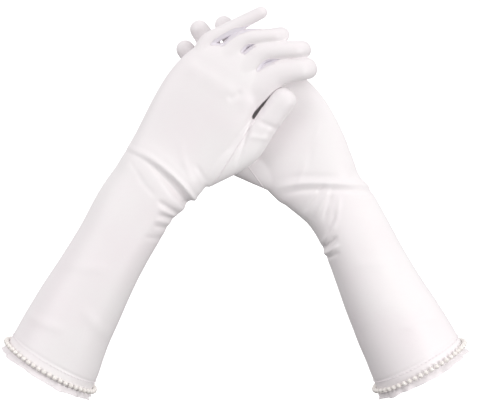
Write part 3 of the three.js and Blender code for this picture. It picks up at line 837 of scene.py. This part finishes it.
def hoop_faces(rings, corners):
    """Quads over rings of corners that close on themselves round the hoop."""
    i, j = np.meshgrid(np.arange(rings), np.arange(corners), indexing="ij")
    here, after, k = i * corners, (i + 1) % rings * corners, (j + 1) % corners
    return np.column_stack([x.ravel() for x in (here + j, after + j, after + k, here + k)])


def outwards(p, faces):
    """Turns the faces round if they point inwards."""
    a, b, c = (p[faces[:, k]] for k in range(3))
    return faces if (a * np.cross(b, c)).sum() > 0 else faces[:, ::-1]


def carried(path, normals, radius, sides=6):
    """A thin round profile carried round a closed run of points; its section stands on the given normals."""
    ahead = np.roll(path, -1, axis=0) - np.roll(path, 1, axis=0)
    ahead /= np.maximum(np.linalg.norm(ahead, axis=1), 1e-9)[:, None]
    aside = np.cross(ahead, normals)
    aside /= np.maximum(np.linalg.norm(aside, axis=1), 1e-9)[:, None]
    turn = circle(sides)
    ring = (path[:, None] + radius * (np.cos(turn)[None, :, None] * aside[:, None]
                                      + np.sin(turn)[None, :, None] * normals[:, None]))
    p = ring.reshape(-1, 3)
    return p, outwards(p - p.mean(0), hoop_faces(len(path), sides))


def even_loop(p, n, step):
    """A closed run of points, evened out and eased, with its normals."""
    ring_p, ring_n = np.vstack([p, p[:1]]), np.vstack([n, n[:1]])
    length = run_lengths(ring_p)
    count = max(8, int(length[-1] / step))
    at = np.arange(count) / count * length[-1]
    q, m = between(at, length, ring_p), between(at, length, ring_n)
    for _ in range(2):
        q = 0.5 * q + 0.25 * (np.roll(q, 1, axis=0) + np.roll(q, -1, axis=0))
    return q, units(m)


# ---- materials ----

class Value:
    """A shader socket that adds Math nodes when it is used in an expression."""

    def __init__(self, sheet, socket):
        self.sheet, self.socket = sheet, socket

    def _math(self, operation, *others):
        return self.sheet.node("ShaderNodeMath", {"operation": operation}, [self, *others])

    def __add__(self, other):
        return self._math("ADD", other)

    def __mul__(self, other):
        return self._math("MULTIPLY", other)

    def __sub__(self, other):
        return self._math("SUBTRACT", other)

    def __rsub__(self, other):
        return self.sheet.node("ShaderNodeMath", {"operation": "SUBTRACT"}, [other, self])

    __radd__ = __add__
    __rmul__ = __mul__


class Sheet:
    def __init__(self, name):
        self.material = bpy.data.materials.new(name)
        self.material.use_nodes = True
        self.tree = self.material.node_tree
        self.shader = self.tree.nodes["Principled BSDF"]

    def node(self, kind, settings=(), inputs=(), output=0):
        """Adds a node, sets it up, and fills its sockets from a list or a dict of values and links."""
        made = self.tree.nodes.new(kind)
        for key, value in dict(settings).items():
            if key == "stops":
                ramp = made.color_ramp.elements
                for element, (place, colour) in zip([ramp[0], ramp[1]], value):
                    element.position, element.color = place, colour
            else:
                setattr(made, key, value)
        pairs = inputs.items() if isinstance(inputs, dict) else enumerate(inputs)
        for key, value in pairs:
            self.fill(made.inputs[key], value)
        return Value(self, made.outputs[output])

    def fill(self, socket, value):
        if isinstance(value, Value):
            self.tree.links.new(value.socket, socket)
        else:
            socket.default_value = value

    def noise(self, scale, detail=3.0, stretch=(1, 1, 1)):
        place = self.node("ShaderNodeTexCoord", output="Object")
        place = self.node("ShaderNodeMapping", {}, {"Vector": place, "Scale": stretch})
        return self.node("ShaderNodeTexNoise", {}, {"Vector": place, "Scale": scale, "Detail": detail})

    def mix(self, factor, dark, light):
        return self.node("ShaderNodeMix", {"data_type": "RGBA"}, {0: factor, 6: dark, 7: light}, output=2)

    def bump(self, height, distance, strength):
        return self.node("ShaderNodeBump", {}, {"Height": height, "Distance": distance, "Strength": strength})

    def finish(self, **sockets):
        for name, value in sockets.items():
            self.fill(self.shader.inputs[name.replace("_", " ")], value)
        return self.material


def satin(name, dark, light, roughness, sheen=0.35):
    """Stretch satin: a faint uneven tint, a fine knit and slow gloss changes."""
    sheet = Sheet(name)
    tint = sheet.noise(15, 2.0)
    knit = sheet.noise(2600, 2.0, (1.0, 1.0, 0.35))
    slub = sheet.noise(420, 3.0, (0.4, 0.4, 1.0))
    colour = sheet.mix(tint * 0.8 + slub * 0.2, dark, light)
    gloss = roughness + (tint - 0.5) * 0.14 + (slub - 0.5) * 0.1
    normal = sheet.bump(knit * 0.7 + slub * 0.3, 0.00012, 0.55)
    return sheet.finish(Base_Color=colour, Roughness=gloss, Normal=normal, Sheen_Weight=sheen, Sheen_Roughness=0.35,
                        Sheen_Tint=(1.0, 0.96, 0.98, 1.0), Specular_IOR_Level=0.42)


def pearl_finish():
    """Imitation pearl: warm white under a clear coat, with a faint pink and green change over its surface."""
    sheet = Sheet("pearl")
    orient = sheet.noise(340, 1.0)
    colour = sheet.mix(orient, (0.86, 0.80, 0.76, 1), (0.93, 0.92, 0.88, 1))
    return sheet.finish(Base_Color=colour, Roughness=0.22 + orient * 0.08, Coat_Weight=0.8, Coat_Roughness=0.06,
                        Specular_IOR_Level=0.6)


SATIN = satin("stretch_satin", (0.885, 0.81, 0.84, 1), (0.925, 0.935, 0.92, 1), 0.4)
# The fourchettes are real cut panels, but their darker, more lilac colour is painted shade of the finger sides that
# face each other and face down.
SHADE_PAINTED_STRIP_SATIN = satin("fourchette_satin", (0.80, 0.76, 0.82, 1), (0.88, 0.86, 0.90, 1), 0.46)
HEM_SATIN = satin("hem_satin", (0.84, 0.78, 0.80, 1), (0.91, 0.87, 0.885, 1), 0.5)
FRILL_SATIN = satin("frill_satin", (0.88, 0.83, 0.85, 1), (0.95, 0.92, 0.93, 1), 0.46)
THREAD = satin("thread", (0.82, 0.76, 0.78, 1), (0.9, 0.86, 0.88, 1), 0.55, 0.1)
PEARL = pearl_finish()


# ---- riding ----


def ride_as(obj, glove, part):
    """Bakes each part's place into its mesh; the right glove's ring and little fingers ride on the hand's body
    instead.
    """
    side = glove.side
    if part == "trank":
        start, end = glove.wrist - glove.arm * 16, glove.wrist + glove.hand * 16
        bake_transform(obj)
    elif part == "thumb":
        start, end = glove.point(60, THUMB_PLANE), glove.point(60, THUMB_PLANE + 10)
        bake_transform(obj)
    elif glove is LEFT and part in ("index", "middle", "ring"):
        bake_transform(obj)
    elif (glove is LEFT and part == "little") or (glove is RIGHT and part in ("index", "middle")):
        start, end = glove.point(HAND + ROOT_GAP, 0), glove.point(HAND + ROOT_GAP + 12, 0)
        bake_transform(obj)
    else:
        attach(obj, f"{side}_hand")


def finger_of(part):
    return part.split("_")[0]


def add_skin_pieces(glove):
    """Makes each cut part an object with its nodes, its ride and its finish."""
    side = glove.side
    made = {}
    for part, skin in glove.parts.items():
        strip = "fourchette" in part
        # Fourchettes take the darker lilac satin, whose tint is painted shade.
        material, slot = (SHADE_PAINTED_STRIP_SATIN, "fourchette") if strip else (SATIN, "satin")
        name = f"{side}_{part}_skin"
        obj = skin_piece(name, skin, material)
        motion = finger_of(part)
        if strip and glove is LEFT and motion != "little":
            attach(obj, "left_hand")
        else:
            ride_as(obj, glove, motion)
        made[part] = obj
    panels = ("sleeve_back", "sleeve_palm", "wrist", "hand_back", "hand_palm")
    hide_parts(*[f"{side}_{panel}" for panel in panels])
    for part, obj in made.items():
        if part == "trank":
            continue
        nodes = [f"{side}_{part}"]
        if glove is LEFT and part in ("index", "middle", "ring"):
            nodes += [f"{side}_{part}_knuckle", f"{side}_{part}_end"]
        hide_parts(*nodes)
    return made


# ---- seams, hem, pearls and frill ----

def add_seams(glove):
    """A fine raised seam round the thumb and round each fourchette."""
    made = []
    for part, skin in glove.parts.items():
        if part != "thumb" and "fourchette" not in part:
            continue
        loop = skin.edge_loops()[0]
        p, n = even_loop(skin.p[loop], skin.n[loop], 1.4)
        radius = 0.42 if part == "thumb" else 0.34
        points, faces = carried(p + n * 0.05, n, radius)
        obj = new_piece(f"{glove.side}_{part}_seam", points, faces, THREAD)
        motion = finger_of(part)
        if part == "thumb" or (glove is LEFT and motion != "little"):
            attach(obj, f"{glove.side}_hand")
        else:
            ride_as(obj, glove, motion)
        made.append(obj)
    return made


def mouth_point(glove, turn, s, grow):
    """Point of the cuff: s up from the mouth line, grow outwards from the cloth."""
    body = glove.body
    first = body.skin(np.full_like(turn, BELOW_CUFF), turn, grow)
    return body.skin(BELOW_CUFF + s + mouth_line(first, glove), turn, grow)


def add_hem(glove):
    """Turned hem: the cloth folds round the mouth and lies flat inside it."""
    outline = [(HEM, -0.35), (5.0, -0.35), (0.25, -0.3), (-0.45, -0.1), (-0.8, -0.55), (-0.55, -1.15), (0.2, -1.55),
               (5.0, -1.65), (HEM, -1.6), (HEM + 0.4, -1.0)]
    turn = circle(160)
    rings = np.stack([mouth_point(glove, turn, s, grow) for s, grow in outline], axis=1)
    points = rings.reshape(-1, 3)
    faces = outwards(points - points.mean(0), hoop_faces(len(turn), len(outline)))
    obj = new_piece(f"{glove.side}_turned_hem", points, faces, HEM_SATIN)
    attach(obj, f"{glove.side}_sleeve")
    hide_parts(f"{glove.side}_hem")
    return obj


def add_stitches(glove):
    """Hem stitches: short rounded threads that dip into the cloth at both ends."""
    count = int(2 * math.pi * 39 / STITCH_PITCH)
    turn = circle(count)
    share = np.linspace(-1, 1, 7)
    half = 0.36 * 2 * math.pi / count
    line = mouth_point(glove, turn[:, None] + share[None, :] * half, HEM - 0.2, 0.35 - 0.55 * share[None, :] ** 4)
    out = units(mouth_point(glove, turn[:, None] + share[None, :] * half, HEM - 0.2, 3.0) - line)
    aside = units(np.cross(np.gradient(line, axis=1), out))
    angle = circle(5)
    radius = 0.26 * np.sqrt(np.maximum(1 - 0.9 * share**2, 0.1))[None, :, None, None]
    section = np.cos(angle)[:, None] * aside[:, :, None] + np.sin(angle)[:, None] * out[:, :, None]
    ring = line[:, :, None] + radius * section
    points, faces = gathered(closed_skin(stitch) for stitch in ring)
    obj = new_piece(f"{glove.side}_hem_stitches", points, faces, THREAD)
    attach(obj, f"{glove.side}_sleeve")
    return obj


def add_pearls(glove):
    """Beads side by side round the mouth on a thin thread."""
    fine = np.linspace(0, 2 * math.pi, 1441)
    line = mouth_point(glove, fine, BEAD, BEAD + 0.25)
    length = run_lengths(line)
    at = (np.arange(BEADS) + 0.5) / BEADS * length[-1]
    turn = np.interp(at, length, fine)
    centres = mouth_point(glove, turn, BEAD, BEAD + 0.25)
    points, faces = gathered(ball(centre, BEAD) for centre in centres)
    thread_turn = fine[:-1:6]
    thread = mouth_point(glove, thread_turn, BEAD, BEAD + 0.25)
    out = units(mouth_point(glove, thread_turn, BEAD, BEAD + 3) - thread)
    thread_points, quads = carried(thread, out, 0.3, sides=5)
    beads = new_piece(f"{glove.side}_pearl_beads", points, faces, PEARL)
    string = new_piece(f"{glove.side}_pearl_thread", thread_points, quads, THREAD)
    for obj in (beads, string):
        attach(obj, f"{glove.side}_sleeve")
    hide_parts(f"{glove.side}_pearls")
    return [beads, string]


def add_frill(glove):
    """Gathered frill: a flared strip whose waves grow towards its free edge."""
    random = np.random.default_rng(21 if glove is LEFT else 34)
    turn = circle(560)
    wave = np.zeros_like(turn)
    for count, size in ((9, 0.5), (14, 0.55), (19, 0.4), (27, 0.25)):
        wave += size * np.sin(count * turn + random.uniform(0, 6.28))
    edge = 0.45 * np.sin(5 * turn + 1.3) + 0.3 * np.sin(11 * turn + 0.4)
    down = np.linspace(0, 1, 10)[:, None]
    s = -0.2 - (FRILL + edge[None, :]) * down
    grow = -0.7 + FRILL_FLARE * down**1.3 + 1.35 * wave[None, :] * down**0.8
    outer = mouth_point(glove, np.broadcast_to(turn, s.shape), s, grow + 0.3)
    inner = mouth_point(glove, np.broadcast_to(turn, s.shape), s, grow - 0.3)
    rings = np.concatenate([outer, inner[::-1]], axis=0).transpose(1, 0, 2)
    points = rings.reshape(-1, 3)
    faces = outwards(points - points.mean(0), hoop_faces(len(turn), rings.shape[1]))
    obj = new_piece(f"{glove.side}_gathered_frill", points, faces, FRILL_SATIN)
    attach(obj, f"{glove.side}_sleeve")
    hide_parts(f"{glove.side}_frill")


# ---- camera, light and floor ----

SURROUND = 0.2, 0.93     # brightness of the surround below and above
KEY, FILL = 17.0, 5.5     # lamp power, watts


def add_camera():
    """Long lens from the front, a little above the hands."""
    rise = math.radians(5)
    middle = (LEFT.wrist + np.array([72.8, 12.0, -18.2])) * MM
    distance, width = 2.4, 0.4224
    away = np.array([0.0, -math.cos(rise), math.sin(rise)])
    data = bpy.data.cameras.new("camera")
    data.sensor_width = 36
    data.lens = 36 * distance / width
    data.clip_end = 200
    camera = bpy.data.objects.new("camera", data)
    camera.matrix_world = (Matrix.Translation(Vector(middle + away * distance))
                           @ Matrix.Rotation(math.pi / 2 - rise, 4, "X"))
    bpy.context.scene.collection.objects.link(camera)
    bpy.context.scene.camera = camera


def add_lamp(name, place, aim, size, power, colour):
    data = bpy.data.lights.new(name, "AREA")
    data.shape, data.size, data.energy, data.color = "DISK", size, power, colour
    lamp = bpy.data.objects.new(name, data)
    direction = Vector(aim) - Vector(place)
    lamp.matrix_world = Matrix.Translation(Vector(place)) @ direction.to_track_quat("-Z", "Y").to_matrix().to_4x4()
    bpy.context.scene.collection.objects.link(lamp)


def add_studio():
    """A white floor that only the camera sees, a surround that is brighter above, and two large soft lamps."""
    lowest = CAD_BOX[0][2] - 0.05
    half = 60.0
    corners = np.array([(-half, -half, lowest), (half, -half, lowest), (half, half, lowest), (-half, half, lowest)])
    mesh = mesh_of("floor", corners, np.array([[0, 1, 2, 3]]), scale=1.0)
    sheet = Sheet("floor_white")
    mesh.materials.append(sheet.finish(Base_Color=(0.9, 0.9, 0.9, 1), Roughness=0.9, Specular_IOR_Level=0.0,
                                       Emission_Color=(1, 1, 1, 1), Emission_Strength=0.6))
    floor = bpy.data.objects.new("floor", mesh)
    floor.visible_diffuse = floor.visible_glossy = floor.visible_transmission = floor.visible_shadow = False
    bpy.context.scene.collection.objects.link(floor)
    world = bpy.data.worlds.new("surround")
    world.use_nodes = True
    nodes, link = world.node_tree.nodes, world.node_tree.links.new
    place, parts, rise = (nodes.new(f"ShaderNode{kind}") for kind in ("TexCoord", "SeparateXYZ", "MapRange"))
    link(place.outputs["Generated"], parts.inputs[0])
    link(parts.outputs["Z"], rise.inputs["Value"])
    rise.interpolation_type = "SMOOTHSTEP"
    for socket, value in zip(("From Min", "From Max", "To Min", "To Max"), (-0.45, 0.4, *SURROUND)):
        rise.inputs[socket].default_value = value
    link(rise.outputs["Result"], nodes["Background"].inputs["Strength"])
    nodes["Background"].inputs["Color"].default_value = (1, 0.985, 0.99, 1)
    bpy.context.scene.world = world
    bpy.context.scene.view_settings.view_transform = "Standard"
    middle = tuple((CAD_BOX[0][k] + CAD_BOX[1][k]) / 2 for k in range(3))
    add_lamp("key", (1.6, -1.4, 0.0), middle, 1.1, KEY, (1, 0.985, 0.98))
    add_lamp("fill", (-1.1, -1.2, 0.7), middle, 0.9, FILL, (1, 0.97, 0.985))


add_camera()
add_studio()
for glove in (LEFT, RIGHT):
    glove.built = built_skin(glove)
    glove.parts = cut_pieces(glove)
    skins = add_skin_pieces(glove)
    trims = add_seams(glove) + [add_hem(glove), add_stitches(glove)] + add_pearls(glove)
    add_frill(glove)
    [o for part, o in skins.items() if part != "trank"] + trims
